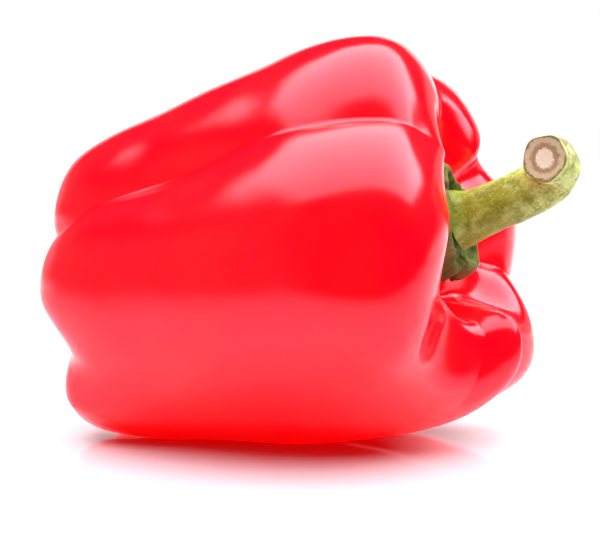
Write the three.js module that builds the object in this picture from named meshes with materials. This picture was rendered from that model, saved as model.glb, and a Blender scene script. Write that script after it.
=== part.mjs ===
// A red bell pepper lying on its side, with its stem end raised a little.
//
// It is three grown pieces: the fruit, the calyx that caps the hollow at its stem end, and the stem.
// Each is shaped upright: +Z runs up the fruit's axis to the stem, with z = 0 near the blossom end.
// Angles go round that axis counter-clockwise seen from the stem, counted from the side the fruit lies on,
// so 90 degrees is its back, 180 its top and 270 its front. The finished pepper is then laid down and set
// on the ground. Sizes are in millimetres and angles in degrees.
import * as THREE from "three";
import { ParametricGeometry } from "three/addons/geometries/ParametricGeometry.js";
import { mergeVertices } from "three/addons/utils/BufferGeometryUtils.js";

// ---- How it lies -------------------------------------------------------------------------------------
const STEM_END_RAISED = 13.8;
const STEM_END_FORWARD = 16.6;
const PRESSED_FLAT = 0.5; // depth of skin that the fruit's own weight flattens where it rests

// ---- The fruit ---------------------------------------------------------------------------------------
// Handles [radius, height] of the two long sections, from the blossom end to the bed of the stem:
// one over the crest of a lobe and one along a furrow of full depth.
const CREST = [
  [0, 8], [6.5, 7], [12, 2.5], [21.5, -0.5], [27, 2.5], [31, 13.5], [33.5, 27], [36.5, 40],
  [38.5, 54.5], [40, 67], [38.5, 79.5], [34, 88], [24.5, 91], [18, 88.5], [13, 81], [6, 80], [0, 80],
];
const FURROW = [
  [0, 8], [5, 7], [9, 7], [13.5, 7.5], [20, 7], [26.5, 15.5], [28, 28], [30.5, 41], [34.5, 54],
  [35.5, 66], [32, 76.5], [28.5, 84], [22, 85], [19, 82], [12, 80.5], [6, 80], [0, 80],
];

// The sections' blossom-end, waist, shoulder and rim stations, as shares of their length. A furrow has a
// depth at each of the four; a lobe has a swell in millimetres at the first three.
const STATIONS = [0.22, 0.45, 0.7, 0.84];

// The furrows, in order round the fruit. A furrow bends by its twist either way between its two ends. Its
// roundness is 1 for an open valley and 0.5 for a sharp cleft. Depth 1 reaches the furrow section. Lift
// raises its shoulder, in millimetres.
const FURROWS = [
  { angle: 7, twist: -1, roundness: 0.65, depth: [0.95, 0.1, 1, 0], lift: 0 },
  { angle: 55, twist: 1, roundness: 0.55, depth: [0.9, 0.6, 0.65, 0.8], lift: 0 },
  { angle: 112, twist: -4, roundness: 1, depth: [0.3, 0.3, 0.9, 1.1], lift: 0 },
  { angle: 164, twist: -3, roundness: 0.55, depth: [0.95, 0.75, 1, 1.1], lift: 0 },
  { angle: 223, twist: 4, roundness: 0.5, depth: [0.85, 1.1, 0.8, -0.1], lift: 0 },
  { angle: 294, twist: -3, roundness: 1, depth: [0.65, -0.2, -0.1, 0.35], lift: -7.1 },
  { angle: 342, twist: -8, roundness: 0.95, depth: [-0.05, 0, 0.35, 0], lift: -3.5 },
];

// The lobes, each between the furrow of the same place in the list above and the next one. Lift raises a
// lobe's shoulder and droop lowers its tip.
const LOBES = [
  { side: "lower back", swell: [1, 3.9, 5.3], lift: -0.7, droop: 0.2 },
  { side: "back", swell: [0.1, 0.1, -0.2], lift: -1, droop: 0 },
  { side: "upper back", swell: [0, 0.2, -4.6], lift: -1.5, droop: 0 },
  { side: "top", swell: [1.1, 0, 2.8], lift: -3.8, droop: -6.7 },
  { side: "front", swell: [-3.1, -0.2, -1.6], lift: -2.3, droop: -1.4 },
  { side: "lower front", swell: [1.7, 0, -3.1], lift: -10, droop: -1.1 },
  { side: "underside", swell: [-2.7, -0.1, -1.5], lift: 1.6, droop: -2.3 },
];
const LOBES_MERGE_WITHIN = 20; // nearer the axis than this, swell, lift and droop shrink in proportion

// The groove round the foot of the stem is deeper on the lower front side. It reaches its depth at an angle
// round the axis and a share of the length of the sections, and fades out over a width of each.
const HOLLOW = { depth: 12, angle: 335, angleWidth: 40, at: 0.85, width: 0.045 };

const FRUIT_COLUMNS_PER_LOBE = 10;
const FRUIT_ROWS = 44;

// ---- The calyx ---------------------------------------------------------------------------------------
const CALYX_REACH = 0.108; // how far it follows the long section down from the bed of the stem
const CALYX_TEETH = 6;
const CALYX_TOOTH = 0.07; // how far a tooth stands out past the mean edge, as a share of the reach
const CALYX_THICKNESS = { crown: 2.5, edge: 1 };
// A low collar round the foot of the stem, at a share of the reach.
const CALYX_COLLAR = { height: 2, at: 0.84, width: 0.1 };
const CALYX_CURL = 0.5; // lift of the teeth off the skin
const CALYX_COLUMNS = 48;
const CALYX_ROWS = 7; // on each face

// ---- The stem ----------------------------------------------------------------------------------------
const STEM_PATH = [
  [-0.5, 0, 83.5], [-0.6, 0, 86], [-1.3, 0, 89.5], [-2.1, 0.4, 94], [-3, 1, 99], [-5, 1, 104.3],
  [-7.9, -2.8, 105.9], [-9.2, -7.8, 105],
];
const STEM_RADII = [[6], [5.2], [4.8], [4.8], [4.8], [4.9], [4.9], [4.5]]; // at the same places
const STEM_RIDGES = 5;
const STEM_RIDGE_HEIGHT = 0.15;
const STEM_COLUMNS = 24;
const STEM_ROWS = 26;

const GAP = 0.3; // left between two pieces that touch

// ---- Curves ------------------------------------------------------------------------------------------
// A point on the uniform cubic B-spline of some handles, each a list of coordinates; t runs from 0 to 1.
function splinePoint(handles, t) {
  const spans = handles.length - 3;
  const x = THREE.MathUtils.clamp(t, 0, 1) * spans;
  const first = Math.min(Math.floor(x), spans - 1);
  const f = x - first;
  const weights = [(1 - f) ** 3, 3 * f ** 3 - 6 * f ** 2 + 4, -3 * f ** 3 + 3 * f ** 2 + 3 * f + 1, f ** 3];
  return handles[0].map((_, axis) =>
    weights.reduce((sum, weight, i) => sum + (weight / 6) * handles[first + i][axis], 0),
  );
}

// Adds the handles that make a section cross the fruit's axis squarely at both ends.
function crossingAxis(section) {
  const flip = ([radius, height]) => [-radius, height];
  return [flip(section[1]), ...section, flip(section.at(-2))];
}

// Adds the handles that make a spline begin and end on its own first and last handle.
function reachingEnds(handles) {
  const beyond = (end, before) => end.map((value, axis) => 2 * value - before[axis]);
  return [beyond(handles[0], handles[1]), ...handles, beyond(handles.at(-1), handles.at(-2))];
}

// Passes smoothly through one value at each of the tip, the waist, the shoulder and the rim.
function alongFruit(values, t) {
  const share = (i) => THREE.MathUtils.smoothstep(t, STATIONS[i], STATIONS[i + 1]);
  return values.slice(1).reduce((sum, value, i) => sum + (value - values[i]) * share(i), values[0]);
}

// A smooth rise to 1 at a centre and back to nothing.
function swelling(t, centre, width) {
  return Math.exp(-(((t - centre) / width) ** 2));
}

// ---- Skin of the fruit -------------------------------------------------------------------------------
const crestHandles = crossingAxis(CREST);
const furrowHandles = crossingAxis(FURROW);

// A point on the skin. u runs once round the fruit, an equal share to each lobe, and t from the blossom end
// to the bed of the stem. Every lobe is a crest between two furrows: the skin sinks from the crest section
// towards the furrow section by the furrow's depth, along a cosine raised to the furrow's roundness.
function skinPoint(u, t, target) {
  const place = u * LOBES.length;
  const index = Math.floor(place) % LOBES.length;
  const share = 2 * (place - Math.floor(place)) - 1;
  const across = 0.65 * share + 0.35 * Math.sin((share * Math.PI) / 2);

  const lobe = LOBES[index];
  const near = FURROWS[index];
  const far = FURROWS[(index + 1) % FURROWS.length];
  const nearAngle = near.angle + near.twist * (1 - 2 * t);
  const farAngle = far.angle + (far.angle < near.angle ? 360 : 0) + far.twist * (1 - 2 * t);
  const degrees = THREE.MathUtils.lerp(nearAngle, farAngle, (across + 1) / 2);
  const angle = THREE.MathUtils.degToRad(degrees);

  const furrow = across < 0 ? near : far;
  const crown = Math.cos((across * Math.PI) / 2) ** 2;
  const sunk = alongFruit(furrow.depth, t) * (1 - crown ** furrow.roundness);
  const [crestRadius, crestHeight] = splinePoint(crestHandles, t);
  const [furrowRadius, furrowHeight] = splinePoint(furrowHandles, t);
  const radius = THREE.MathUtils.lerp(crestRadius, furrowRadius, sunk);
  const height = THREE.MathUtils.lerp(crestHeight, furrowHeight, sunk);
  const merge = Math.min(radius / LOBES_MERGE_WITHIN, 1);
  const lift = THREE.MathUtils.lerp(furrow.lift, lobe.lift, Math.sqrt(crown)) * swelling(t, 0.72, 0.11);
  const droop = crown * lobe.droop * swelling(t, 0.2, 0.12);
  const aside = THREE.MathUtils.euclideanModulo(degrees - HOLLOW.angle + 180, 360) - 180;
  const hollow = HOLLOW.depth * swelling(aside, 0, HOLLOW.angleWidth) * swelling(t, HOLLOW.at, HOLLOW.width);
  const out = radius + merge * crown * alongFruit(lobe.swell, t);
  const up = height + merge * (lift - droop) - hollow;
  return target.set(out * Math.cos(angle), out * Math.sin(angle), up);
}

// ---- Closed surfaces ---------------------------------------------------------------------------------
// Makes one closed body of a surface whose first and last rows each shrink to a point.
function closedSurface(pointAt, columns, rows) {
  const surface = new ParametricGeometry(pointAt, columns, rows);
  surface.deleteAttribute("normal");
  surface.deleteAttribute("uv");
  const welded = mergeVertices(surface, 1e-3);
  const corners = Array.from(welded.index.array);
  const kept = corners.filter((_, i) => {
    const [a, b, c] = corners.slice(i - (i % 3), i - (i % 3) + 3);
    return a !== b && b !== c && c !== a;
  });
  welded.setIndex(kept);
  welded.computeVertexNormals();
  return welded;
}

function makeFruit() {
  return closedSurface(skinPoint, LOBES.length * FRUIT_COLUMNS_PER_LOBE, FRUIT_ROWS);
}

// The calyx lies on the skin round the stem. Its upper face runs out from the axis to a toothed edge, and
// its lower face back.
function makeCalyx() {
  return closedSurface(
    (u, v, target) => {
      const out = 1 - Math.abs(1 - 2 * v);
      const tooth = CALYX_TOOTH * Math.cos(2 * Math.PI * CALYX_TEETH * u);
      skinPoint(u, 1 - CALYX_REACH * (1 + tooth) * out, target);
      const thickness = THREE.MathUtils.lerp(CALYX_THICKNESS.crown, CALYX_THICKNESS.edge, out ** 2);
      const collar = CALYX_COLLAR.height * swelling(out, CALYX_COLLAR.at, CALYX_COLLAR.width);
      target.z += GAP / 0.7 + CALYX_CURL * out ** 4 + (v > 0.5 ? thickness + collar : 0);
      return target;
    },
    CALYX_COLUMNS,
    2 * CALYX_ROWS,
  );
}

// The stem is swept along its path, wide at its foot and cut square at its end, with a few soft ridges.
function makeStem() {
  const path = reachingEnds(STEM_PATH);
  const radii = reachingEnds(STEM_RADII);
  const pathPoint = (t) => new THREE.Vector3(...splinePoint(path, t));
  const sideways = new THREE.Vector3(1, 0, 0);
  return closedSurface(
    (u, v, target) => {
      const row = Math.round(v * STEM_ROWS);
      const t = THREE.MathUtils.clamp((row - 1) / (STEM_ROWS - 2), 0, 1);
      const along = pathPoint(t + 1e-4).sub(pathPoint(t - 1e-4)).normalize();
      const across = sideways.clone().addScaledVector(along, -sideways.dot(along)).normalize();
      const up = along.clone().cross(across);
      const ridge = STEM_RIDGE_HEIGHT * Math.cos(2 * Math.PI * STEM_RIDGES * u);
      const radius = row === 0 || row === STEM_ROWS ? 0 : splinePoint(radii, t)[0] + ridge;
      return target
        .copy(pathPoint(t))
        .addScaledVector(across, radius * Math.cos(2 * Math.PI * u))
        .addScaledVector(up, radius * Math.sin(2 * Math.PI * u));
    },
    STEM_COLUMNS,
    STEM_ROWS,
  );
}

// ---- The pepper, laid down ---------------------------------------------------------------------------
const fruitSkin = new THREE.MeshStandardMaterial({ color: 0xd8060c, roughness: 0.18, metalness: 0 });
const calyxGreen = new THREE.MeshStandardMaterial({ color: 0x6f7a2a, roughness: 0.6, metalness: 0 });
const stemGreen = new THREE.MeshStandardMaterial({ color: 0xa9a648, roughness: 0.55, metalness: 0 });

const laid = new THREE.Group();
laid.rotation.set(
  0,
  THREE.MathUtils.degToRad(90 - STEM_END_RAISED),
  THREE.MathUtils.degToRad(-STEM_END_FORWARD),
  "ZYX",
);

function addPiece(name, geometry, material) {
  const piece = new THREE.Mesh(geometry, material);
  piece.name = name;
  laid.add(piece);
  return piece;
}

// Presses the skin flat on the ground: every point lower than the ground is moved up to it. Returns how high
// the foot of the fruit's axis stands above the ground.
function settle(geometry, groundUp) {
  const points = geometry.getAttribute("position");
  const point = new THREE.Vector3();
  const heightOf = (i) => point.fromBufferAttribute(points, i).dot(groundUp);
  const heights = Array.from({ length: points.count }, (_, i) => heightOf(i));
  const ground = Math.min(...heights) + PRESSED_FLAT;
  heights.forEach((height, i) => {
    if (height < ground) {
      point.fromBufferAttribute(points, i).addScaledVector(groundUp, ground - height);
      points.setXYZ(i, point.x, point.y, point.z);
    }
  });
  geometry.computeVertexNormals();
  return -ground;
}

const fruit = addPiece("fruit", makeFruit(), fruitSkin);
addPiece("calyx", makeCalyx(), calyxGreen);
addPiece("stem", makeStem(), stemGreen);

const groundUp = new THREE.Vector3(0, 0, 1).applyQuaternion(laid.quaternion.clone().invert());
laid.position.z = settle(fruit.geometry, groundUp);
laid.updateMatrixWorld(true);
const extent = new THREE.Box3().setFromObject(laid, true);
laid.position.x = -(extent.min.x + extent.max.x) / 2;
laid.position.y = -(extent.min.y + extent.max.y) / 2;

const pepper = new THREE.Group();
pepper.add(laid);

export default pepper;
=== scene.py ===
"""A red bell pepper lying on its side, with its stem end raised a little, in metres.

The fruit, its calyx and its stem are surfaces worked out on grids from the same sizes as the solids.
Each is shaped upright in millimetres, with +Z along the fruit's axis to the stem, laid down as the
solids are, and set into the box of its solid. The fruit's skin has shallow dents besides.
"""

from __future__ import annotations

import logging
import math
from collections.abc import Callable
from dataclasses import dataclass
from enum import Enum
from typing import Any

import bpy
import numpy as np
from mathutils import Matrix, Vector

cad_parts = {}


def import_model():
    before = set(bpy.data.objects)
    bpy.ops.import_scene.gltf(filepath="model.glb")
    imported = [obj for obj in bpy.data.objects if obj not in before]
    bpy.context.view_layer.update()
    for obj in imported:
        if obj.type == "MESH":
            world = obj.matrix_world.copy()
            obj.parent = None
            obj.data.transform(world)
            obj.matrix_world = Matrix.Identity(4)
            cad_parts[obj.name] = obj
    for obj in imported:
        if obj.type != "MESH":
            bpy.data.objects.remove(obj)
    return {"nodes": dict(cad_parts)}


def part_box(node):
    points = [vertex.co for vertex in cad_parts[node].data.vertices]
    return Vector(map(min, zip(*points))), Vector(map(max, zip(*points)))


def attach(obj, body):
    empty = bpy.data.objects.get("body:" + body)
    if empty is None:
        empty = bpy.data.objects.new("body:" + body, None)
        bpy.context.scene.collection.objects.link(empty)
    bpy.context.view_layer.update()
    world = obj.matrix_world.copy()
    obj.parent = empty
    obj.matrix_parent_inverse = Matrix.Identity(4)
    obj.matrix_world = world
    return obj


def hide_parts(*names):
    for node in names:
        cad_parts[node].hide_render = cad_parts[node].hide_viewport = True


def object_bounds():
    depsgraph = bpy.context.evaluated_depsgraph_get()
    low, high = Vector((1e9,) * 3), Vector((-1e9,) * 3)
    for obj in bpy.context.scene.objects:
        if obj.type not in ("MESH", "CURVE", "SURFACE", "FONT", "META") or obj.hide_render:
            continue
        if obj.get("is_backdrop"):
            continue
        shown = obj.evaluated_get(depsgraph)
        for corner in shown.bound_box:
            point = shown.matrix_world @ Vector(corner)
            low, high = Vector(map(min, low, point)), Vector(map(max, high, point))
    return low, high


frame: dict[str, Any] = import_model()

LOG = logging.getLogger("bell_pepper")
MILLIMETRE = 0.001
TINY = 1e-9
BODY = "root"

# A hash of three numbers: what it starts from, the bits that it turns by, and the bits of its result
# that choose one of sixteen slopes.
HASH_START = 0xDEADBEEF + 25
HASH_TURNS = (14, 11, 25, 16, 4, 14, 24)
SLOPE_BITS = 15

Pair = tuple[float, float]
Place = tuple[float, float, float]
Colour = tuple[float, float, float, float]
Handles = tuple[tuple[float, ...], ...]


class Slot(Enum):
    """The record's material slots."""

    FRUIT_SKIN = "fruit_skin"
    CALYX_GREEN = "calyx_green"
    STEM_GREEN = "stem_green"


class SplineEnd(Enum):
    """How a spline's handles go on past its two ends."""

    CROSSES_AXIS = "crosses the fruit's axis squarely"
    REACHES_HANDLE = "begins and ends on its own first and last handle"


# ---- Curves and waves ----


def spline(handles: Handles, t: np.ndarray, end: SplineEnd) -> np.ndarray:
    """Points on the uniform cubic B-spline of some handles.

    Each point is the sum of four neighbouring handles times the cubic B-spline weights of its place
    between them.

    Args:
        handles: The handles, each a tuple of coordinates.
        t: Places along the curve, from 0 to 1.
        end: How the handles go on past the ends.

    Returns:
        An array of t's shape with one more axis for the coordinates.
    """
    inner = np.array(handles, float)
    if end is SplineEnd.CROSSES_AXIS:
        flip = np.array([-1.0, 1.0])
        first, last = inner[1] * flip, inner[-2] * flip
    else:
        first, last = 2 * inner[0] - inner[1], 2 * inner[-1] - inner[-2]
    points = np.vstack([first, inner, last])
    spans = len(points) - 3
    x = np.clip(t, 0, 1) * spans
    start = np.minimum(np.floor(x).astype(int), spans - 1)
    f = (x - start)[..., None]
    weights = ((1 - f) ** 3, 3 * f**3 - 6 * f**2 + 4, -3 * f**3 + 3 * f**2 + 3 * f + 1, f**3)
    return sum(weight / 6 * points[start + i] for i, weight in enumerate(weights))


def smoothstep(x: np.ndarray, low: float, high: float) -> np.ndarray:
    """Rises smoothly from 0 at low to 1 at high, as 3s^2 - 2s^3 of the share s between them."""
    s = np.clip((x - low) / (high - low), 0, 1)
    return s * s * (3 - 2 * s)


def swelling(x: np.ndarray, centre: float, width: float) -> np.ndarray:
    """A bell curve that is 1 at its centre, exp(-((x - centre) / width)^2)."""
    return np.exp(-(((x - centre) / width) ** 2))


@dataclass(frozen=True)
class Ripple:
    """A slow unevenness between about -1 and 1 that closes round the piece."""

    seed: int
    turns: tuple[int, ...]

    def at(self, around: np.ndarray, along: np.ndarray) -> np.ndarray:
        """The mean of a few products of a cosine round the piece and a cosine along it.

        A product that turns n times round the piece has 2 + 0.6 n half waves along it. The phases are
        drawn from the seed.

        Args:
            around: Place round the piece, from 0 to 1.
            along: Place along the piece, from 0 to 1.

        Returns:
            The unevenness at each place.
        """
        phases = np.random.default_rng(self.seed).uniform(0, 2 * np.pi, (len(self.turns), 2))
        waves = [
            np.cos(2 * np.pi * n * around + a) * np.cos(np.pi * (2 + 0.6 * n) * along + b)
            for n, (a, b) in zip(self.turns, phases)
        ]
        return sum(waves) / len(waves)


def scrambled(x: np.ndarray, y: np.ndarray, z: np.ndarray) -> np.ndarray:
    """A scrambled 32-bit number for each lattice corner.

    Three numbers take turns, and in each turn one becomes itself xor its neighbour, less the neighbour
    turned left by some bits.

    Args:
        x: First whole coordinate of each corner.
        y: Second whole coordinate.
        z: Third whole coordinate.

    Returns:
        The scrambled numbers.
    """
    start = np.uint32(HASH_START)
    target, source, other = (start + v.astype(np.int64).astype(np.uint32) for v in (z, y, x))
    for bits in HASH_TURNS:
        target = (target ^ source) - ((source << np.uint32(bits)) | (source >> np.uint32(32 - bits)))
        target, source, other = other, target, source
    return source


def gradient_noise(place: np.ndarray) -> np.ndarray:
    """Gradient noise, from about -1 to 1, with one wave or so in each unit.

    Each corner of the place's cell gives the dot product of its own slope and the way from it. A slope is
    plus or minus 1 along two of the three axes, and the corner's code chooses the axes and the signs. The
    corners are blended by f^3 (6f^2 - 15f + 10) of the place f in the cell along each axis.

    Args:
        place: Places, with their three coordinates on the last axis.

    Returns:
        The noise at each place.
    """
    cell = np.floor(place)
    inside = place - cell
    blend = inside**3 * (inside * (inside * 6 - 15) + 10)
    total = np.zeros(place.shape[:-1])
    for corner in np.ndindex(2, 2, 2):
        code = scrambled(*np.moveaxis(cell + corner, -1, 0)) & SLOPE_BITS
        x, y, z = np.moveaxis(inside - corner, -1, 0)
        first = np.where(code < 8, x, y)
        second = np.where(code < 4, y, np.where((code == 12) | (code == 14), x, z))
        slope = np.where(code & 1, -first, first) + np.where(code & 2, -second, second)
        total += slope * np.where(corner, blend, 1 - blend).prod(axis=-1)
    return total


# ---- Meshes ----


def added(name: str, data: bpy.types.ID) -> bpy.types.Object:
    """Adds an object to the scene.

    Args:
        name: Its name.
        data: Its mesh, lamp or camera.

    Returns:
        The new object, at the origin.
    """
    made = bpy.data.objects.new(name, data)
    bpy.context.scene.collection.objects.link(made)
    return made


@dataclass(frozen=True)
class Lie:
    """How the upright pepper is laid down: the stem end is raised, then swung forward."""

    raised: float = 13.8
    forward: float = 16.6

    def turn(self, points: np.ndarray) -> np.ndarray:
        """Turns upright points about +Y until the axis is nearly level, then about +Z towards the front.

        Args:
            points: Points in the upright pepper's own coordinates.

        Returns:
            The same points as the pepper lies.
        """
        tilt, swing = math.radians(90 - self.raised), math.radians(-self.forward)
        about_y = np.array(
            [[math.cos(tilt), 0, math.sin(tilt)], [0, 1, 0], [-math.sin(tilt), 0, math.cos(tilt)]]
        )
        about_z = np.array(
            [[math.cos(swing), -math.sin(swing), 0], [math.sin(swing), math.cos(swing), 0], [0, 0, 1]]
        )
        return points @ (about_z @ about_y).T


@dataclass
class GridSurface:
    """A closed surface on a grid whose first and last rows are each one point.

    Attributes:
        points: Rows by columns by three, in millimetres. The columns close round.
        marks: Named values over the same grid, kept as attributes of the mesh.
    """

    points: np.ndarray
    marks: dict[str, np.ndarray]

    def into_box(self, low: Vector, high: Vector) -> GridSurface:
        """Moves and stretches the points, axis by axis, from their own box into another.

        Args:
            low: Lowest corner of the box, in metres.
            high: Highest corner of the box, in metres.

        Returns:
            This surface.
        """
        own_low = self.points.min(axis=(0, 1))
        own_high = self.points.max(axis=(0, 1))
        share = (self.points - own_low) / (own_high - own_low)
        self.points = (np.array(low) + share * (np.array(high) - np.array(low))) / MILLIMETRE
        return self

    def dent(self, depth: float, size: float, share: np.ndarray) -> None:
        """Moves the points in and out along the surface's normal, by the depth times gradient noise.

        The normal is the cross product of the way round to the next column and the way to the next row.
        The noise is one octave plus half of an octave twice as fine. No point sinks below the ground.

        Args:
            depth: How far apart the highest and the lowest points could be, in millimetres.
            size: About how far apart the dents are, in millimetres.
            share: How much of the depth each point gets.
        """
        ground = self.points[..., 2].min()
        around = np.roll(self.points, -1, axis=1) - np.roll(self.points, 1, axis=1)
        normal = np.cross(around, np.gradient(self.points, axis=0))
        length = np.linalg.norm(normal, axis=-1, keepdims=True)
        normal = np.divide(normal, length, out=np.zeros_like(normal), where=length > TINY)
        place = self.points / size
        noise = (gradient_noise(place) + 0.5 * gradient_noise(2 * place)) / 3
        self.points = self.points + (depth * share * noise)[..., None] * normal
        self.points[..., 2] = np.maximum(self.points[..., 2], ground)

    def to_object(self, name: str) -> bpy.types.Object:
        """Makes the mesh: four-sided faces between rows, and a fan of triangles at each end.

        Args:
            name: Name of the object and of its mesh.

        Returns:
            The new object, at the origin, with its place in its mesh.
        """
        rows, columns = self.points.shape[:2]
        inner = self.points[1:-1].reshape(-1, 3)
        ends = self.points[[0, -1], 0]
        column = np.arange(columns)
        after = (column + 1) % columns
        row = np.arange(rows - 3)[:, None] * columns
        quads = np.stack([row + column, row + after, row + columns + after, row + columns + column], -1)
        first, last = len(inner), len(inner) + 1
        top = (rows - 3) * columns
        foot_fan = np.stack([np.full(columns, first), after, column], -1)
        head_fan = np.stack([np.full(columns, last), top + column, top + after], -1)
        mesh = bpy.data.meshes.new(name)
        faces = quads.reshape(-1, 4).tolist() + foot_fan.tolist() + head_fan.tolist()
        mesh.from_pydata((np.vstack([inner, ends]) * MILLIMETRE).tolist(), [], faces)
        mesh.polygons.foreach_set("use_smooth", np.ones(len(mesh.polygons), bool))
        for mark, values in self.marks.items():
            layer = mesh.attributes.new(mark, "FLOAT", "POINT")
            flat = np.concatenate([values[1:-1].ravel(), values[[0, -1], 0]])
            layer.data.foreach_set("value", flat.astype(np.float32))
        mesh.update()
        return added(name, mesh)


# ---- Shader expressions ----


def operator(operation: str, swapped: bool = False) -> Callable[[Signal, Operand], Signal]:
    """Makes a method that adds a Math node.

    Args:
        operation: The node's operation.
        swapped: Whether the other operand comes first.

    Returns:
        The method, of the signal and the other operand.
    """

    def combined(signal: Signal, other: Operand) -> Signal:
        """The Math node of both operands."""
        first, second = (other, signal) if swapped else (signal, other)
        return signal.graph.node("ShaderNodeMath", {"operation": operation}, {0: first, 1: second})

    return combined


class Signal:
    """An output of a shader node. Sums and products of signals and numbers add Math nodes."""

    __add__ = operator("ADD")
    __radd__ = operator("ADD", swapped=True)
    __sub__ = operator("SUBTRACT")
    __rsub__ = operator("SUBTRACT", swapped=True)
    __mul__ = operator("MULTIPLY")
    __rmul__ = operator("MULTIPLY", swapped=True)
    __truediv__ = operator("DIVIDE")
    at_least = operator("MAXIMUM")
    at_most = operator("MINIMUM")
    power = operator("POWER")

    def __init__(self, graph: Graph, socket: bpy.types.NodeSocket | None) -> None:
        """Keeps the graph and the socket."""
        self.graph = graph
        self.socket = socket

    def step(self, low: float, high: float) -> Signal:
        """Rises smoothly from 0 at low to 1 at high, or falls where low is the larger."""
        return self.graph.node(
            "ShaderNodeMapRange",
            {"interpolation_type": "SMOOTHSTEP"},
            {"Value": self, "From Min": low, "From Max": high, "To Min": 0.0, "To Max": 1.0},
        )


Operand = Signal | float


class Graph:
    """A node tree that is built from expressions."""

    def __init__(self, tree: bpy.types.NodeTree) -> None:
        """Empties the tree and keeps it."""
        tree.nodes.clear()
        self.tree = tree

    def node(
        self,
        kind: str,
        settings: dict[str, Any] | None = None,
        inputs: dict[str | int, Any] | None = None,
        output: str | int = 0,
    ) -> Signal:
        """Adds a node.

        Args:
            kind: The node's type.
            settings: Its own settings, set before its sockets. "stops" is a ramp's list of places and
                colours.
            inputs: Values or signals for its sockets.
            output: The output to return.

        Returns:
            The chosen output, or one without a socket for a node that has no outputs.
        """
        made = self.tree.nodes.new(kind)
        for name, value in (settings or {}).items():
            if name == "stops":
                self._set_stops(made.color_ramp, value)
            else:
                setattr(made, name, value)
        for name, value in (inputs or {}).items():
            if isinstance(value, Signal):
                self.tree.links.new(value.socket, made.inputs[name])
            else:
                made.inputs[name].default_value = value
        return Signal(self, made.outputs[output]) if made.outputs else Signal(self, None)

    def _set_stops(self, ramp: bpy.types.ColorRamp, stops: list[tuple[float, Colour]]) -> None:
        """Sets a ramp's stops.

        Args:
            ramp: The ramp, with its first two stops.
            stops: Places and colours.
        """
        while len(ramp.elements) < len(stops):
            ramp.elements.new(1.0)
        for element, (place, colour) in zip(ramp.elements, stops):
            element.position = place
            element.color = colour

    def mix(self, factor: Operand, low: Signal | Colour, high: Signal | Colour) -> Signal:
        """The colour low where the factor is 0, and high where it is 1."""
        return self.node("ShaderNodeMix", {"data_type": "RGBA"}, {0: factor, 6: low, 7: high}, output=2)

    def ramp(self, factor: Operand, stops: list[tuple[float, Colour]]) -> Signal:
        """The colour of a ramp at a factor."""
        return self.node("ShaderNodeValToRGB", {"stops": stops}, {0: factor})

    def noise(self, place: Signal, scale: float, detail: float, distortion: float = 0.0) -> Signal:
        """Cloudy noise from 0 to 1, with its scale in waves per unit of place."""
        return self.node(
            "ShaderNodeTexNoise",
            {"noise_dimensions": "3D"},
            {"Vector": place, "Scale": scale, "Detail": detail, "Distortion": distortion},
            output="Fac",
        )

    def spots(self, place: Signal, scale: float) -> Signal:
        """Distance to the nearest of scattered points, in cells."""
        return self.node(
            "ShaderNodeTexVoronoi", {"feature": "F1"}, {"Vector": place, "Scale": scale}, output="Distance"
        )

    def place(self) -> Signal:
        """Object coordinates."""
        return self.node("ShaderNodeTexCoord", output="Object")

    def mark(self, name: str) -> Signal:
        """A named value kept on the mesh."""
        return self.node("ShaderNodeAttribute", {"attribute_name": name}, output="Fac")

    def vector(self, x: Operand, y: Operand, z: Operand) -> Signal:
        """A vector of three values."""
        return self.node("ShaderNodeCombineXYZ", inputs={0: x, 1: y, 2: z})

    def split(self, vector: Signal) -> tuple[Signal, Signal, Signal]:
        """The x, y and z of a vector."""
        return tuple(self.node("ShaderNodeSeparateXYZ", inputs={0: vector}, output=i) for i in range(3))

    def bump(self, height: Signal, distance: float) -> Signal:
        """A normal that follows a height from 0 to 1 times a distance in metres."""
        return self.node("ShaderNodeBump", inputs={"Height": height, "Distance": distance})

    def principled(self, inputs: dict[str, Any]) -> Signal:
        """A Principled shader with these inputs."""
        return self.node("ShaderNodeBsdfPrincipled", inputs=inputs)

    def surface(self, shader: Signal) -> None:
        """Makes a shader the material's surface."""
        self.node("ShaderNodeOutputMaterial", inputs={"Surface": shader})


@dataclass(frozen=True)
class Fade:
    """How something comes in while a value passes from start to full, and how strong it gets."""

    start: float
    full: float
    strength: float = 1.0

    def of(self, value: Signal) -> Signal:
        """The strength times a smooth step of a value, which falls where start is the larger."""
        return value.step(self.start, self.full) * self.strength


def new_material(name: str) -> tuple[bpy.types.Material, Graph]:
    """Makes an empty material that uses nodes.

    Args:
        name: The material's name.

    Returns:
        The material and its graph.
    """
    made = bpy.data.materials.new(name)
    made.use_nodes = True
    return made, Graph(made.node_tree)


# ---- Finishes ----


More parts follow.
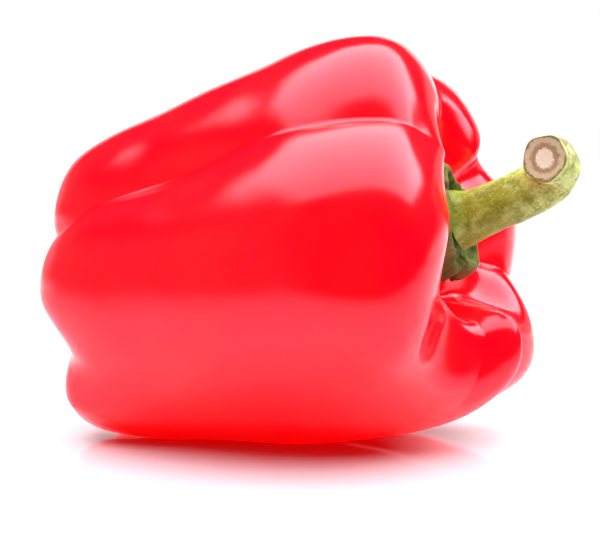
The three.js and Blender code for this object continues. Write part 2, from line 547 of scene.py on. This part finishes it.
@dataclass(frozen=True)
class WaxySkin:
    """The fruit's skin: saturated red flesh under a clear waxy gloss.

    Waves and cells are counted per metre, and the flesh's depth and the relief are in metres.
    """

    red: Colour = (0.86, 0.0, 0.008, 1)
    # deep_red is the freckles' colour, and also painted shade in the furrows and the bed of the stem.
    deep_red: Colour = (0.62, 0.0, 0.006, 1)
    warm_red: Colour = (0.9, 0.003, 0.008, 1)
    scar: Colour = (0.23, 0.13, 0.06, 1)
    cloud_waves: float = 70.0
    warm_clouds: Fade = Fade(0.3, 0.75)
    shaded_furrows: Fade = Fade(0.2, 1.2, 0.55)
    freckle_cells: float = 900.0
    freckle: Fade = Fade(0.22, 0.05)
    freckled_clouds: Fade = Fade(0.45, 0.65, 0.25)
    bed: Fade = Fade(0.86, 0.97)
    bed_shade_share: float = 0.7
    scarred_end: Fade = Fade(0.012, 0.006)
    roughness: float = 0.13
    cloud_roughness: float = 0.05
    bed_roughness: float = 0.2
    refraction: float = 1.45
    tint: Colour = (1.0, 0.79, 1.0, 1)
    flesh_share: float = 0.4
    flesh_depth: float = 0.012
    flesh_reach: tuple[float, float, float] = (1.0, 0.03, 0.02)
    painted_glow: Fade = Fade(0.03, 0.0, 0.55)
    pore_waves: float = 1500.0
    pore_height: float = 0.12
    dimple_waves: float = 260.0
    relief: float = 0.00003

    def material(self) -> bpy.types.Material:
        """Builds the skin: mottled red with fine pores and a soft uneven gloss. Painted shade darkens the
        furrows and the bed of the stem.

        Low down the skin has a painted glow, a red emission that is strongest next to the floor.
        """
        made, g = new_material("waxy red skin")
        place = g.place()
        along = g.mark("along")
        cloud = g.noise(place, self.cloud_waves, detail=4.0, distortion=0.4)
        freckle = self.freckle.of(g.spots(place, self.freckle_cells))
        mottled = g.mix(self.warm_clouds.of(cloud), self.red, self.warm_red)
        # Painted shade: the furrows are mixed towards deep red by how far the skin is sunk into them.
        furrow_shaded = g.mix(self.shaded_furrows.of(g.mark("hollow")), mottled, self.deep_red)
        freckled = g.mix(freckle * self.freckled_clouds.of(cloud), furrow_shaded, self.deep_red)
        bed = self.bed.of(along)
        # Painted shade: towards the bed of the stem the skin is mixed with deep red.
        bed_shaded = g.mix(bed * self.bed_shade_share, freckled, self.deep_red)
        scarred = g.mix(self.scarred_end.of(along), bed_shaded, self.scar)
        pores = g.noise(place, self.pore_waves, detail=2.0)
        dimples = g.noise(place, self.dimple_waves, detail=2.0)
        skin = {
            "Base Color": scarred,
            "Roughness": self.roughness + cloud * self.cloud_roughness + bed * self.bed_roughness,
            "IOR": self.refraction,
            "Specular Tint": self.tint,
            "Subsurface Weight": self.flesh_share,
            "Subsurface Radius": self.flesh_reach,
            "Subsurface Scale": self.flesh_depth,
            # Painted glow: a red emission that grows towards the floor brightens the lowest skin.
            "Emission Color": g.vector(self.painted_glow.of(g.split(place)[2]), 0.0, 0.0),
            "Emission Strength": 1.0,
            "Normal": g.bump(pores * self.pore_height + dimples, self.relief),
        }
        g.surface(g.principled(skin))
        return made


@dataclass(frozen=True)
class CalyxLeaf:
    """The calyx: dull dark green, browned along its ragged edge."""

    green: Colour = (0.12, 0.145, 0.012, 1)
    dark_green: Colour = (0.03, 0.045, 0.004, 1)
    brown: Colour = (0.12, 0.06, 0.015, 1)
    cloud_waves: float = 450.0
    green_clouds: Fade = Fade(0.35, 0.65)
    green_veins: float = 0.35
    brown_edge: Fade = Fade(0.75, 1.0)
    brown_clouds: Fade = Fade(0.2, 0.7)
    roughness: float = 0.55
    cloud_roughness: float = 0.2
    shine: float = 0.25
    grain_waves: float = 1100.0
    grain_height: float = 0.6
    vein_height: float = 0.4
    relief: float = 0.0003

    def material(self) -> bpy.types.Material:
        """Builds the leaf: mottled greens, radial veins and a brown edge."""
        made, g = new_material("calyx leaf")
        place = g.place()
        vein = g.mark("vein")
        cloud = g.noise(place, self.cloud_waves, detail=5.0, distortion=0.6)
        mottled = g.mix(self.green_clouds.of(cloud), self.dark_green, self.green)
        veined = g.mix(vein * self.green_veins, mottled, self.green)
        browned = self.brown_edge.of(g.mark("edge")) * self.brown_clouds.of(cloud)
        grain = g.noise(place, self.grain_waves, detail=4.0)
        leaf = {
            "Base Color": g.mix(browned, veined, self.brown),
            "Roughness": self.roughness + cloud * self.cloud_roughness,
            "Specular IOR Level": self.shine,
            "Normal": g.bump(grain * self.grain_height + vein * self.vein_height, self.relief),
        }
        g.surface(g.principled(leaf))
        return made


@dataclass(frozen=True)
class StemRind:
    """The stem: yellow-green rind with pale streaks, brown flecks and a woody cut end.

    The outer part is the half towards the cut, and the knob is one side of the bend.
    """

    green: Colour = (0.25, 0.3, 0.012, 1)
    dark_green: Colour = (0.12, 0.145, 0.001, 1)
    pale: Colour = (0.52, 0.55, 0.2, 1)
    tan: Colour = (0.4, 0.34, 0.2, 1)
    fleck: Colour = (0.1, 0.05, 0.015, 1)
    pith: Colour = (0.55, 0.5, 0.38, 1)
    wood: Colour = (0.24, 0.17, 0.085, 1)
    ring: Colour = (0.4, 0.33, 0.21, 1)
    rim: Colour = (0.14, 0.11, 0.04, 1)
    streak_waves: float = 5.0
    streak_shortness: float = 1.2
    cloud_waves: float = 380.0
    grain_waves: float = 1500.0
    fleck_cells: float = 900.0
    outer: Fade = Fade(0.35, 0.7)
    green_clouds: Fade = Fade(0.32, 0.6)
    shaded_foot_green: float = 0.45
    pale_ridges: Fade = Fade(0.42, 0.7, 0.4)
    worn_grain: Fade = Fade(0.45, 0.7)
    inner_wear: float = 0.2
    outer_painted_light: float = 0.35
    painted_light_clouds: Fade = Fade(0.35, 0.6, 0.4)
    dark_grain: Fade = Fade(0.45, 0.3, 0.3)
    fleck_edge: Fade = Fade(0.2, 0.05)
    flecked_clouds: Fade = Fade(0.5, 0.64, 0.6)
    knob_side: Pair = (-0.4, 0.9)
    knob_round: Fade = Fade(0.65, 0.95)
    knob_along: Fade = Fade(0.8, 0.86)
    tanned: float = 0.6
    scarred_clouds: Fade = Fade(0.44, 0.54, 0.7)
    cut_edge: Fade = Fade(1.12, 1.08)
    cloudy_rings: float = 0.2
    grainy_rings: float = 0.3
    roughness: float = 0.45
    cloud_roughness: float = 0.2
    cut_roughness: float = 0.25
    shine: float = 0.25
    relief: float = 0.00035

    def rings(self, g: Graph, cloud: Signal, grain: Signal) -> Signal:
        """The colour of the cut: pith in the middle, wood and a pale ring round it, and a dark rim.

        Args:
            g: The material's graph.
            cloud: Cloudy noise from 0 to 1.
            grain: Finer noise from 0 to 1.

        Returns:
            The colour at each share of the radius, made uneven by both noises.
        """
        stops = [
            (0.0, self.pith), (0.38, self.pith), (0.48, self.wood), (0.6, self.wood),
            (0.72, self.ring), (0.88, self.ring), (0.96, self.rim),
        ]
        uneven = (cloud - 0.5) * self.cloudy_rings + (grain - 0.5) * self.grainy_rings
        return g.ramp(g.mark("cut") + uneven, stops)

    def rind(self, g: Graph, streak: Signal, cloud: Signal, grain: Signal) -> Signal:
        """The colour of the rind: painted shade darkens its foot, painted light and pale grain make its
        outer part paler, and the knob is scarred.

        Args:
            g: The material's graph.
            streak: Noise that runs along the stem, from 0 to 1.
            cloud: Cloudy noise from 0 to 1.
            grain: Finer noise from 0 to 1.

        Returns:
            The colour.
        """
        along = g.mark("along")
        outer = self.outer.of(along)
        # Painted shade: towards the foot of the stem the rind keeps less of the light green.
        greener = self.shaded_foot_green + (1 - self.shaded_foot_green) * outer
        clouded = self.green_clouds.of((streak + cloud) * 0.5) * greener
        ground = g.mix(clouded, self.dark_green, self.green)
        ridged = g.mix(g.mark("ridge") * self.pale_ridges.of(cloud), ground, self.pale)
        # Pale grain speckle everywhere, with more of it and pale clouds in the outer part as painted light.
        speckle_and_light = self.worn_grain.of(grain) * (self.inner_wear + self.outer_painted_light * outer)
        grained = g.mix(speckle_and_light + outer * self.painted_light_clouds.of(cloud), ridged, self.pale)
        speckled = g.mix(self.dark_grain.of(grain), grained, self.dark_green)
        fleck = self.fleck_edge.of(g.spots(g.place(), self.fleck_cells))
        flecked = g.mix(fleck * self.flecked_clouds.of(cloud), speckled, self.fleck)
        knob_x, knob_y = self.knob_side
        facing = g.mark("side_x") * knob_x + g.mark("side_y") * knob_y
        knob = self.knob_along.of(along) * self.knob_round.of(facing)
        tanned = g.mix(knob * self.tanned, flecked, self.tan)
        return g.mix(knob * self.scarred_clouds.of(cloud), tanned, self.fleck)

    def material(self) -> bpy.types.Material:
        """Builds the rind from its marks, and the rings of the cut end."""
        made, g = new_material("stem rind")
        place = g.place()
        lengthwise = g.vector(g.mark("side_x"), g.mark("side_y"), g.mark("along") * self.streak_shortness)
        streak = g.noise(lengthwise, self.streak_waves, detail=4.0, distortion=0.2)
        cloud = g.noise(place, self.cloud_waves, detail=4.0)
        grain = g.noise(place, self.grain_waves, detail=3.0)
        in_cut = self.cut_edge.of(g.mark("cut"))
        stem = {
            "Base Color": g.mix(in_cut, self.rind(g, streak, cloud, grain), self.rings(g, cloud, grain)),
            "Roughness": self.roughness + cloud * self.cloud_roughness + in_cut * self.cut_roughness,
            "Specular IOR Level": self.shine,
            "Normal": g.bump((streak + grain) * 0.25 + cloud * 0.5, self.relief),
        }
        g.surface(g.principled(stem))
        return made


@dataclass(frozen=True)
class FloorPaper:
    """A smooth white sheet that mirrors a little."""

    white: Colour = (0.5, 0.485, 0.53, 1)
    cloud_waves: float = 3.0
    roughness: float = 0.04
    cloud_roughness: float = 0.03
    side_share: float = 0.5
    faded: Fade = Fade(0.09, 0.26)

    def material(self) -> bpy.types.Material:
        """Builds the sheet: faintly uneven, and fading out into the white room away from the pepper.

        Its distance in front or behind counts in full, and its distance to a side by a share.
        """
        made, g = new_material("white floor")
        place = g.place()
        cloud = g.noise(place, self.cloud_waves, detail=2.0)
        x, y, _ = g.split(place)
        away = (y * y + x * x * self.side_share**2).power(0.5)
        roughness = self.roughness + cloud * self.cloud_roughness
        sheet = g.principled({"Base Color": self.white, "Roughness": roughness})
        clear = g.node("ShaderNodeBsdfTransparent")
        g.surface(g.node("ShaderNodeMixShader", inputs={0: self.faded.of(away), 1: sheet, 2: clear}))
        return made


# ---- The pepper's pieces ----


@dataclass(frozen=True)
class Furrow:
    """A furrow between two lobes, at an angle in degrees, with its depth as a share at four stations.

    Its angle changes by the twist from the middle of the fruit to either end, one way and the other. It
    is narrower where its roundness is smaller.
    """

    angle: float
    twist: float
    roundness: float
    depth: tuple[float, float, float, float]
    lift: float = 0.0


@dataclass(frozen=True)
class Lobe:
    """A lobe: swell in millimetres at three stations, and how its shoulder lifts and its tip droops."""

    swell: tuple[float, float, float]
    lift: float
    droop: float


@dataclass(frozen=True)
class Hollow:
    """A deeper part of the groove round the foot of the stem, at an angle and a share of the section."""

    depth: float = 12.0
    angle: float = 335.0
    angle_width: float = 40.0
    at: float = 0.85
    width: float = 0.045

    def sunk(self, theta: np.ndarray, t: np.ndarray) -> np.ndarray:
        """How far the skin is sunk: the depth times a bell curve round the fruit and one along it.

        Args:
            theta: Place round the axis, in radians.
            t: Place along the section, from 0 to 1.

        Returns:
            The depth in millimetres at each place.
        """
        aside = np.mod(np.degrees(theta) - self.angle + 180, 360) - 180
        return self.depth * swelling(aside, 0, self.angle_width) * swelling(t, self.at, self.width)


@dataclass(frozen=True)
class Dents:
    """Broad shallow dents: their depth and size in millimetres, and where along the fruit they fade."""

    depth: float = 1.4
    size: float = 22.2
    fade_in: Pair = (0.04, 0.12)
    fade_out: Pair = (0.8, 0.88)

    def share(self, along: np.ndarray) -> np.ndarray:
        """How much of the depth each place along the fruit gets: one smoothstep, less another."""
        return smoothstep(along, *self.fade_in) * (1 - smoothstep(along, *self.fade_out))


@dataclass
class Fruit:
    """The fruit, one body with seven crests between seven furrows, hollowed at both ends.

    The shoulder, the tip and the rippled part are each the centre and the width of a bell curve.
    """

    lie: Lie
    crest: Handles = (
        (0, 8), (6.5, 7), (12, 2.5), (21.5, -0.5), (27, 2.5), (31, 13.5), (33.5, 27), (36.5, 40),
        (38.5, 54.5), (40, 67), (38.5, 79.5), (34, 88), (24.5, 91), (18, 88.5), (13, 81), (6, 80), (0, 80),
    )
    valley: Handles = (
        (0, 8), (5, 7), (9, 7), (13.5, 7.5), (20, 7), (26.5, 15.5), (28, 28), (30.5, 41), (34.5, 54),
        (35.5, 66), (32, 76.5), (28.5, 84), (22, 85), (19, 82), (12, 80.5), (6, 80), (0, 80),
    )
    stations: tuple[float, ...] = (0.22, 0.45, 0.7, 0.84)
    furrows: tuple[Furrow, ...] = (
        Furrow(7, -1, 0.65, (0.95, 0.1, 1, 0)),
        Furrow(55, 1, 0.55, (0.9, 0.6, 0.65, 0.8)),
        Furrow(112, -4, 1, (0.3, 0.3, 0.9, 1.1)),
        Furrow(164, -3, 0.55, (0.95, 0.75, 1, 1.1)),
        Furrow(223, 4, 0.5, (0.85, 1.1, 0.8, -0.1)),
        Furrow(294, -3, 1, (0.65, -0.2, -0.1, 0.35), -7.1),
        Furrow(342, -8, 0.95, (-0.05, 0, 0.35, 0), -3.5),
    )
    lobes: tuple[Lobe, ...] = (
        Lobe((1, 3.9, 5.3), -0.7, 0.2),
        Lobe((0.1, 0.1, -0.2), -1, 0),
        Lobe((0, 0.2, -4.6), -1.5, 0),
        Lobe((1.1, 0, 2.8), -3.8, -6.7),
        Lobe((-3.1, -0.2, -1.6), -2.3, -1.4),
        Lobe((1.7, 0, -3.1), -10, -1.1),
        Lobe((-2.7, -0.1, -1.5), 1.6, -2.3),
    )
    hollow: Hollow = Hollow()
    easing: float = 0.35
    merge_within: float = 20.0
    shoulder: Pair = (0.72, 0.11)
    tip: Pair = (0.2, 0.12)
    pressed_flat: float = 0.5
    usual_radius: float = 38.0
    ripple: Ripple = Ripple(11, (3, 5, 8, 13))
    ripple_height: float = 0.2
    rippled: Pair = (0.5, 0.35)
    dents: Dents = Dents()
    columns_per_lobe: int = 40
    rows: int = 300
    finish: WaxySkin = WaxySkin()

    def along_fruit(self, values: np.ndarray, t: np.ndarray) -> np.ndarray:
        """Passes smoothly through one value at each station: the first value, plus each step to the next
        times a smoothstep between their stations.

        Args:
            values: Values on the last axis, one for each of the first stations.
            t: Place along the section, from 0 to 1.

        Returns:
            The value at t.
        """
        total = values[..., 0] + 0 * t
        for i in range(values.shape[-1] - 1):
            rise = smoothstep(t, self.stations[i], self.stations[i + 1])
            total = total + (values[..., i + 1] - values[..., i]) * rise
        return total

    def skin(self, u: np.ndarray, t: np.ndarray) -> tuple[np.ndarray, np.ndarray]:
        """Points of the skin.

        Each lobe is a crest between two furrows. With a crown of cos^2 across the lobe, the skin sinks
        from the crest section to the valley section by the furrow's depth times 1 - crown^roundness. It
        then swells, lifts at the shoulder and droops at the tip with the crown, fading out towards the
        axis, and the groove round the stem's foot is sunk deeper on one side. The easing is the share of
        a sine in the way across a lobe, which sets the columns closer together near the furrows.

        Args:
            u: Place round the fruit, from 0 to 1, an equal share to each lobe.
            t: Place from the blossom end to the bed of the stem, from 0 to 1.

        Returns:
            The upright points in millimetres, and how far each is sunk, from 0 to about 1.
        """
        count = len(self.lobes)
        u, t = np.broadcast_arrays(u, t)
        place = u * count
        index = np.floor(place).astype(int) % count
        share = 2 * (place - np.floor(place)) - 1
        across = (1 - self.easing) * share + self.easing * np.sin(share * np.pi / 2)
        after = (index + 1) % count

        angle = np.array([f.angle for f in self.furrows], float)
        twist = np.array([f.twist for f in self.furrows], float)
        near = angle[index] + twist[index] * (1 - 2 * t)
        far = angle[after] + 360 * (after < index) + twist[after] * (1 - 2 * t)
        theta = np.radians(near + (far - near) * (across + 1) / 2)

        furrow = np.where(across < 0, index, after)
        crown = np.cos(across * np.pi / 2) ** 2
        depth = self.along_fruit(np.array([f.depth for f in self.furrows])[furrow], t)
        roundness = np.array([f.roundness for f in self.furrows])[furrow]
        sunk = depth * (1 - crown**roundness)
        crest = spline(self.crest, t, SplineEnd.CROSSES_AXIS)
        valley = spline(self.valley, t, SplineEnd.CROSSES_AXIS)
        radius, height = np.moveaxis(crest + sunk[..., None] * (valley - crest), -1, 0)

        merge = np.minimum(radius / self.merge_within, 1)
        lobe_lift = np.array([lobe.lift for lobe in self.lobes])[index]
        furrow_lift = np.array([f.lift for f in self.furrows])[furrow]
        lift = (furrow_lift + (lobe_lift - furrow_lift) * np.sqrt(crown)) * swelling(t, *self.shoulder)
        droop = crown * np.array([lobe.droop for lobe in self.lobes])[index] * swelling(t, *self.tip)
        swell = self.along_fruit(np.array([lobe.swell for lobe in self.lobes])[index], t)
        out = radius + merge * crown * swell
        up = height + merge * (lift - droop) - self.hollow.sunk(theta, t)
        return np.stack([out * np.cos(theta), out * np.sin(theta), up], -1), sunk

    def surface(self) -> GridSurface:
        """The skin on a fine grid, a little uneven, laid down and pressed flat where it rests.

        A slow ripple, weaker towards both ends, moves each point away from the axis by a share of its
        radius. Every point lower than the ground is moved up to it.

        Returns:
            The closed surface with its marks.
        """
        columns = len(self.lobes) * self.columns_per_lobe
        u = np.arange(columns) / columns
        t = np.linspace(0, 1, self.rows + 1)[:, None]
        points, sunk = self.skin(u[None, :], t)
        wave = self.ripple.at(u[None, :], t) * swelling(t, *self.rippled)
        points[..., :2] *= (1 + self.ripple_height * wave / self.usual_radius)[..., None]
        laid = self.lie.turn(points)
        ground = laid[..., 2].min() + self.pressed_flat
        laid[..., 2] = np.maximum(laid[..., 2], ground)
        return GridSurface(laid, {"hollow": sunk, "along": t + 0 * u[None, :]})

    def build(self) -> bpy.types.Object:
        """Builds and dresses the fruit in place of its solid.

        The dents fade out towards both ends, and before the skin reaches the calyx.

        Returns:
            The finished object.
        """
        surface = self.surface().into_box(*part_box("fruit"))
        surface.dent(self.dents.depth, self.dents.size, self.dents.share(surface.marks["along"]))
        made = surface.into_box(*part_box("fruit")).to_object("pepper_fruit")
        return dress(made, self.finish.material(), "fruit")


@dataclass
class Calyx:
    """The green cap on the skin round the stem, with a ragged toothed edge."""

    fruit: Fruit
    reach: float = 0.108
    teeth: int = 6
    tooth: float = 0.07
    crown_thickness: float = 2.5
    edge_thickness: float = 1.0
    collar: float = 2.0
    collar_round: Pair = (0.84, 0.1)
    ragged: Ripple = Ripple(5, (7, 11, 17, 23, 31))
    ragged_by: float = 0.035
    folds: Ripple = Ripple(9, (9, 14, 19))
    fold_height: float = 0.25
    curl: float = 0.5
    gap: float = 0.3
    levelness: float = 0.7
    veins_per_tooth: int = 4
    columns: int = 240
    rows: int = 40
    finish: CalyxLeaf = CalyxLeaf()

    def surface(self) -> GridSurface:
        """The cap's lower face runs out from the axis to the edge, and its upper face back.

        A point is on the skin, at a share of the reach from the bed of the stem that a wave round the edge
        makes longer at each tooth. It is raised by the gap, over how level the skin is, and by the curl
        times the share to the fourth power. On the upper face it is raised by the thickness, the collar and
        fine folds too.

        Returns:
            The closed surface with its marks.
        """
        u = np.arange(self.columns)[None, :] / self.columns
        v = np.linspace(0, 1, 2 * self.rows + 1)[:, None]
        out = 1 - np.abs(1 - 2 * v)
        tooth = self.tooth * np.cos(2 * np.pi * self.teeth * u) + self.ragged_by * self.ragged.at(u, 0 * u)
        points, _ = self.fruit.skin(u, 1 - self.reach * (1 + tooth) * out)
        upper = v > 0.5
        fold = self.fold_height * self.folds.at(u, 0 * u) * out
        thickness = self.crown_thickness + (self.edge_thickness - self.crown_thickness) * out**2
        thickness = thickness + self.collar * swelling(out, *self.collar_round) + fold
        points[..., 2] += self.gap / self.levelness + self.curl * out**4 + upper * thickness
        vein = 0.5 + 0.5 * np.cos(2 * np.pi * self.teeth * self.veins_per_tooth * u) * out
        return GridSurface(self.fruit.lie.turn(points), {"edge": out + 0 * u, "vein": vein + 0 * v})

    def build(self) -> bpy.types.Object:
        """Builds and dresses the calyx in place of its solid."""
        made = self.surface().into_box(*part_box("calyx")).to_object("pepper_calyx")
        return dress(made, self.finish.material(), "calyx")


@dataclass
class Stem:
    """The thick bent stem, ridged along its length and cut square at its end."""

    lie: Lie
    path: Handles = (
        (-0.5, 0, 83.5), (-0.6, 0, 86), (-1.3, 0, 89.5), (-2.1, 0.4, 94), (-3, 1, 99), (-5, 1, 104.3),
        (-7.9, -2.8, 105.9), (-9.2, -7.8, 105),
    )
    radii: Handles = ((6,), (5.2,), (4.8,), (4.8,), (4.8,), (4.9,), (4.9,), (4.5,))
    ridges: int = 5
    ridge_height: float = 0.15
    lumps: Ripple = Ripple(3, (1, 2, 3, 5))
    lump_height: float = 0.12
    lump_shortness: float = 3.0
    dish: float = 0.25
    off_the_cut: float = 1.2
    step_ahead: float = 1e-4
    columns: int = 120
    rows: int = 200
    rows_in_cut: int = 24
    finish: StemRind = StemRind()

    def surface(self) -> GridSurface:
        """A round profile with soft ridges carried along the path.

        The profile stands square to the path, with its first direction as near to +X as it can be. The
        path's direction is the way from a small step behind each place to a small step ahead. The radius
        shrinks to nothing over the first and the last few rows, which makes the foot and the cut. The cut
        is dished, and its mark is the share of the radius, or a larger number off it.

        Returns:
            The closed surface with its marks.
        """
        u = np.arange(self.columns) / self.columns
        side = self.rows_in_cut
        whole = self.rows + 2 * side
        row = np.arange(whole + 1)
        t = np.clip((row - side) / self.rows, 0, 1)
        closing = np.clip(np.minimum(row, whole - row) / side, 0, 1)
        centre = spline(self.path, t, SplineEnd.REACHES_HANDLE)
        step = self.step_ahead
        ahead = spline(self.path, np.clip(t, 0, 1 - step) + step, SplineEnd.REACHES_HANDLE)
        behind = spline(self.path, np.clip(t, step, 1) - step, SplineEnd.REACHES_HANDLE)
        direction = ahead - behind
        direction /= np.linalg.norm(direction, axis=1, keepdims=True)
        across = np.array([1.0, 0, 0]) - direction[:, :1] * direction
        across /= np.linalg.norm(across, axis=1, keepdims=True)
        up = np.cross(direction, across)
        radius = spline(self.radii, t, SplineEnd.REACHES_HANDLE)
        ridge = np.cos(2 * np.pi * self.ridges * u)[None, :]
        lump = self.lumps.at(u[None, :], self.lump_shortness * t[:, None])
        reach = (radius + self.ridge_height * ridge + self.lump_height * lump) * closing[:, None]
        cosine, sine = np.cos(2 * np.pi * u)[None, :, None], np.sin(2 * np.pi * u)[None, :, None]
        ring = across[:, None, :] * cosine + up[:, None, :] * sine
        points = centre[:, None, :] + reach[..., None] * ring
        at_end = row > whole - side
        cut = np.where(at_end[:, None], reach / radius.reshape(-1, 1), self.off_the_cut)
        dish = self.dish * np.where(at_end, 1 - closing**2, 0)[:, None, None]
        points = points - dish * direction[:, None, :]
        marks = {
            "along": t[:, None] + 0 * ridge,
            "ridge": 0.5 + 0.5 * ridge + 0 * t[:, None],
            "cut": cut,
            "side_x": cosine[..., 0] + 0 * t[:, None],
            "side_y": sine[..., 0] + 0 * t[:, None],
        }
        return GridSurface(self.lie.turn(points), marks)

    def build(self) -> bpy.types.Object:
        """Builds and dresses the stem in place of its solid."""
        made = self.surface().into_box(*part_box("stem")).to_object("pepper_stem")
        return dress(made, self.finish.material(), "stem")


def dress(made: bpy.types.Object, material: bpy.types.Material, node: str) -> bpy.types.Object:
    """Gives a piece its material and ties it to the frame.

    Args:
        made: The piece.
        material: Its material.
        node: The solid that it stands for.

    Returns:
        The same piece.
    """
    made.data.materials.append(material)
    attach(made, BODY)
    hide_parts(node)
    return made


# ---- The studio ----


class Way(Enum):
    """What an edge of a bright patch lies across: a part of a direction, or a place on the panel."""

    RIGHT = "x"
    BACK = "y"
    UP = "z"
    PANEL_RIGHT = "x / z"
    PANEL_BACK = "y / z"
    PANEL_CORNER = "y / z - x / z"


@dataclass(frozen=True)
class Patch:
    """A bright patch of the room with soft edges.

    Attributes:
        light: How bright it is.
        edges: What each edge lies across, with the values where it is dark and where it is full.
    """

    light: float
    edges: tuple[tuple[Way, float, float], ...]

    def seen(self, ways: dict[Way, Signal]) -> Signal:
        """The light times a smooth step across each edge, in the direction that the ways belong to."""
        return math.prod((ways[way].step(dark, full) for way, dark, full in self.edges), start=self.light)


@dataclass(frozen=True)
class Room:
    """The light that reaches the pepper from each direction.

    A wide panel hangs overhead. Behind stands a wall, bright below the level of the floor and dim just
    above it, with a narrow bright strip a little to the right. A dim wall stands to the left, and the
    front is dark.
    """

    dark: float = 0.02
    lowest: float = 0.02
    panel: Patch = Patch(
        7.0,
        (
            (Way.PANEL_RIGHT, -1.3, -0.95),
            (Way.PANEL_RIGHT, 2.3, 1.9),
            (Way.PANEL_BACK, -1.1, -0.85),
            (Way.PANEL_BACK, 0.8, 0.55),
            (Way.PANEL_CORNER, 1.35, 1.05),
        ),
    )
    panel_front: float = 0.65
    panel_rear: Fade = Fade(-0.9, 0.2, 0.45)
    panel_slope: float = 0.18
    panel_sloped: Pair = (-1.0, 1.8)
    left_wall: Patch = Patch(0.35, ((Way.RIGHT, -0.5, -0.85), (Way.UP, 0.6, 0.3)))
    back_wall: Patch = Patch(2.4, ((Way.BACK, 0.0, 0.3), (Way.UP, 0.02, -0.12)))
    low_wall: Patch = Patch(0.7, ((Way.BACK, 0.3, 0.6), (Way.UP, 0.3, 0.2)))
    strip: Patch = Patch(
        1.9, ((Way.RIGHT, 0.03, 0.12), (Way.RIGHT, 0.52, 0.4), (Way.BACK, 0.3, 0.5), (Way.UP, 0.45, 0.25))
    )

    def light(self) -> None:
        """Lights the world with the panel, the walls and the dark, and shows the camera plain white.

        A direction (x, y, z) meets the level of the panel at (x / z, y / z). The panel is brighter towards
        the rear, and towards the right by a slope.
        """
        world = bpy.data.worlds.new("studio")
        world.use_nodes = True
        bpy.context.scene.world = world
        g = Graph(world.node_tree)
        x, y, z = g.split(g.node("ShaderNodeTexCoord", output="Generated"))
        height = z.at_least(self.lowest)
        across, back = x / height, y / height
        ways = dict(zip(Way, (x, y, z, across, back, back - across)))
        left_end, right_end = self.panel_sloped
        brighter = 1 + self.panel_slope * across.at_least(left_end).at_most(right_end)
        panel = self.panel.seen(ways) * (self.panel_front + self.panel_rear.of(back)) * brighter
        walls = self.back_wall.seen(ways).at_least(self.low_wall.seen(ways))
        behind = walls.at_least(self.strip.seen(ways))
        seen = self.dark + panel + self.left_wall.seen(ways) + behind
        to_camera = g.node("ShaderNodeLightPath", output="Is Camera Ray")
        background = g.node(
            "ShaderNodeBackground",
            inputs={"Color": (1, 1, 1, 1), "Strength": seen * (1 - to_camera) + to_camera},
        )
        g.node("ShaderNodeOutputWorld", inputs={"Surface": background})


@dataclass(frozen=True)
class Lamp:
    """A soft lamp behind the pepper that isn't seen in the gloss, in metres and watts."""

    name: str
    place: Place
    power: float
    size: Pair = (0.9, 0.6)

    def hang(self) -> None:
        """Hangs the lamp in its place, aimed at the pepper."""
        data = bpy.data.lights.new(self.name, "AREA")
        data.shape = "RECTANGLE"
        data.size, data.size_y = self.size
        data.energy = self.power
        made = added(self.name, data)
        made.location = self.place
        made.rotation_euler = (-Vector(self.place)).to_track_quat("-Z", "Y").to_euler()
        made.visible_camera = False
        made.visible_glossy = False


@dataclass
class Studio:
    """A white floor in a white room, with the lamps behind the pepper and the camera in front of it."""

    floor_size: float = 8.0
    floor_points: int = 9
    distance: float = 0.6
    elevation: float = 9.0
    lens: float = 180.0
    aim: Place = (-0.00136, 0.00491, -0.00691)
    room: Room = Room()
    lamps: tuple[Lamp, ...] = (
        Lamp("back lamp", (-0.55, 0.75, 0.5), 13.0),
        Lamp("side lamp", (0.4, 0.85, 0.5), 15.0),
    )
    finish: FloorPaper = FloorPaper()

    def floor(self) -> bpy.types.Object:
        """Lays the floor, a flat grid at height 0.

        Returns:
            The floor.
        """
        n = self.floor_points
        side = np.linspace(-self.floor_size / 2, self.floor_size / 2, n)
        x, y = np.meshgrid(side, side, indexing="ij")
        points = np.stack([x, y, 0 * x], -1).reshape(-1, 3)
        corner = (np.arange(n - 1)[:, None] * n + np.arange(n - 1)[None, :]).ravel()
        faces = np.stack([corner, corner + n, corner + n + 1, corner + 1], -1)
        mesh = bpy.data.meshes.new("floor")
        mesh.from_pydata(points.tolist(), [], faces.tolist())
        mesh.update()
        made = added("floor", mesh)
        made.data.materials.append(self.finish.material())
        made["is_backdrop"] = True
        return made

    def camera(self, low: Vector, high: Vector) -> None:
        """Places the camera in front of the pepper, a little above it.

        Args:
            low: Lowest corner of the solids.
            high: Highest corner of the solids.
        """
        target = (low + high) / 2 + Vector(self.aim)
        rise = math.radians(self.elevation)
        data = bpy.data.cameras.new("camera")
        data.lens = self.lens
        data.sensor_width = 36.0
        data.clip_start = 0.01
        made = added("camera", data)
        made.location = target + self.distance * Vector((0, -math.cos(rise), math.sin(rise)))
        made.rotation_euler = (math.radians(90) - rise, 0, 0)
        bpy.context.scene.camera = made


def main() -> None:
    """Builds the pepper and its studio."""
    logging.basicConfig(level=logging.INFO, format="%(message)s")
    low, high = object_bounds()
    lie = Lie()
    fruit = Fruit(lie)
    for piece in (fruit, Calyx(fruit), Stem(lie)):
        made = piece.build()
        LOG.info("%s: %d faces", made.name, len(made.data.polygons))
    studio = Studio()
    studio.floor()
    studio.room.light()
    for lamp in studio.lamps:
        lamp.hang()
    studio.camera(low, high)
    bpy.context.scene.view_settings.view_transform = "Standard"


if __name__ == "__main__":
    main()
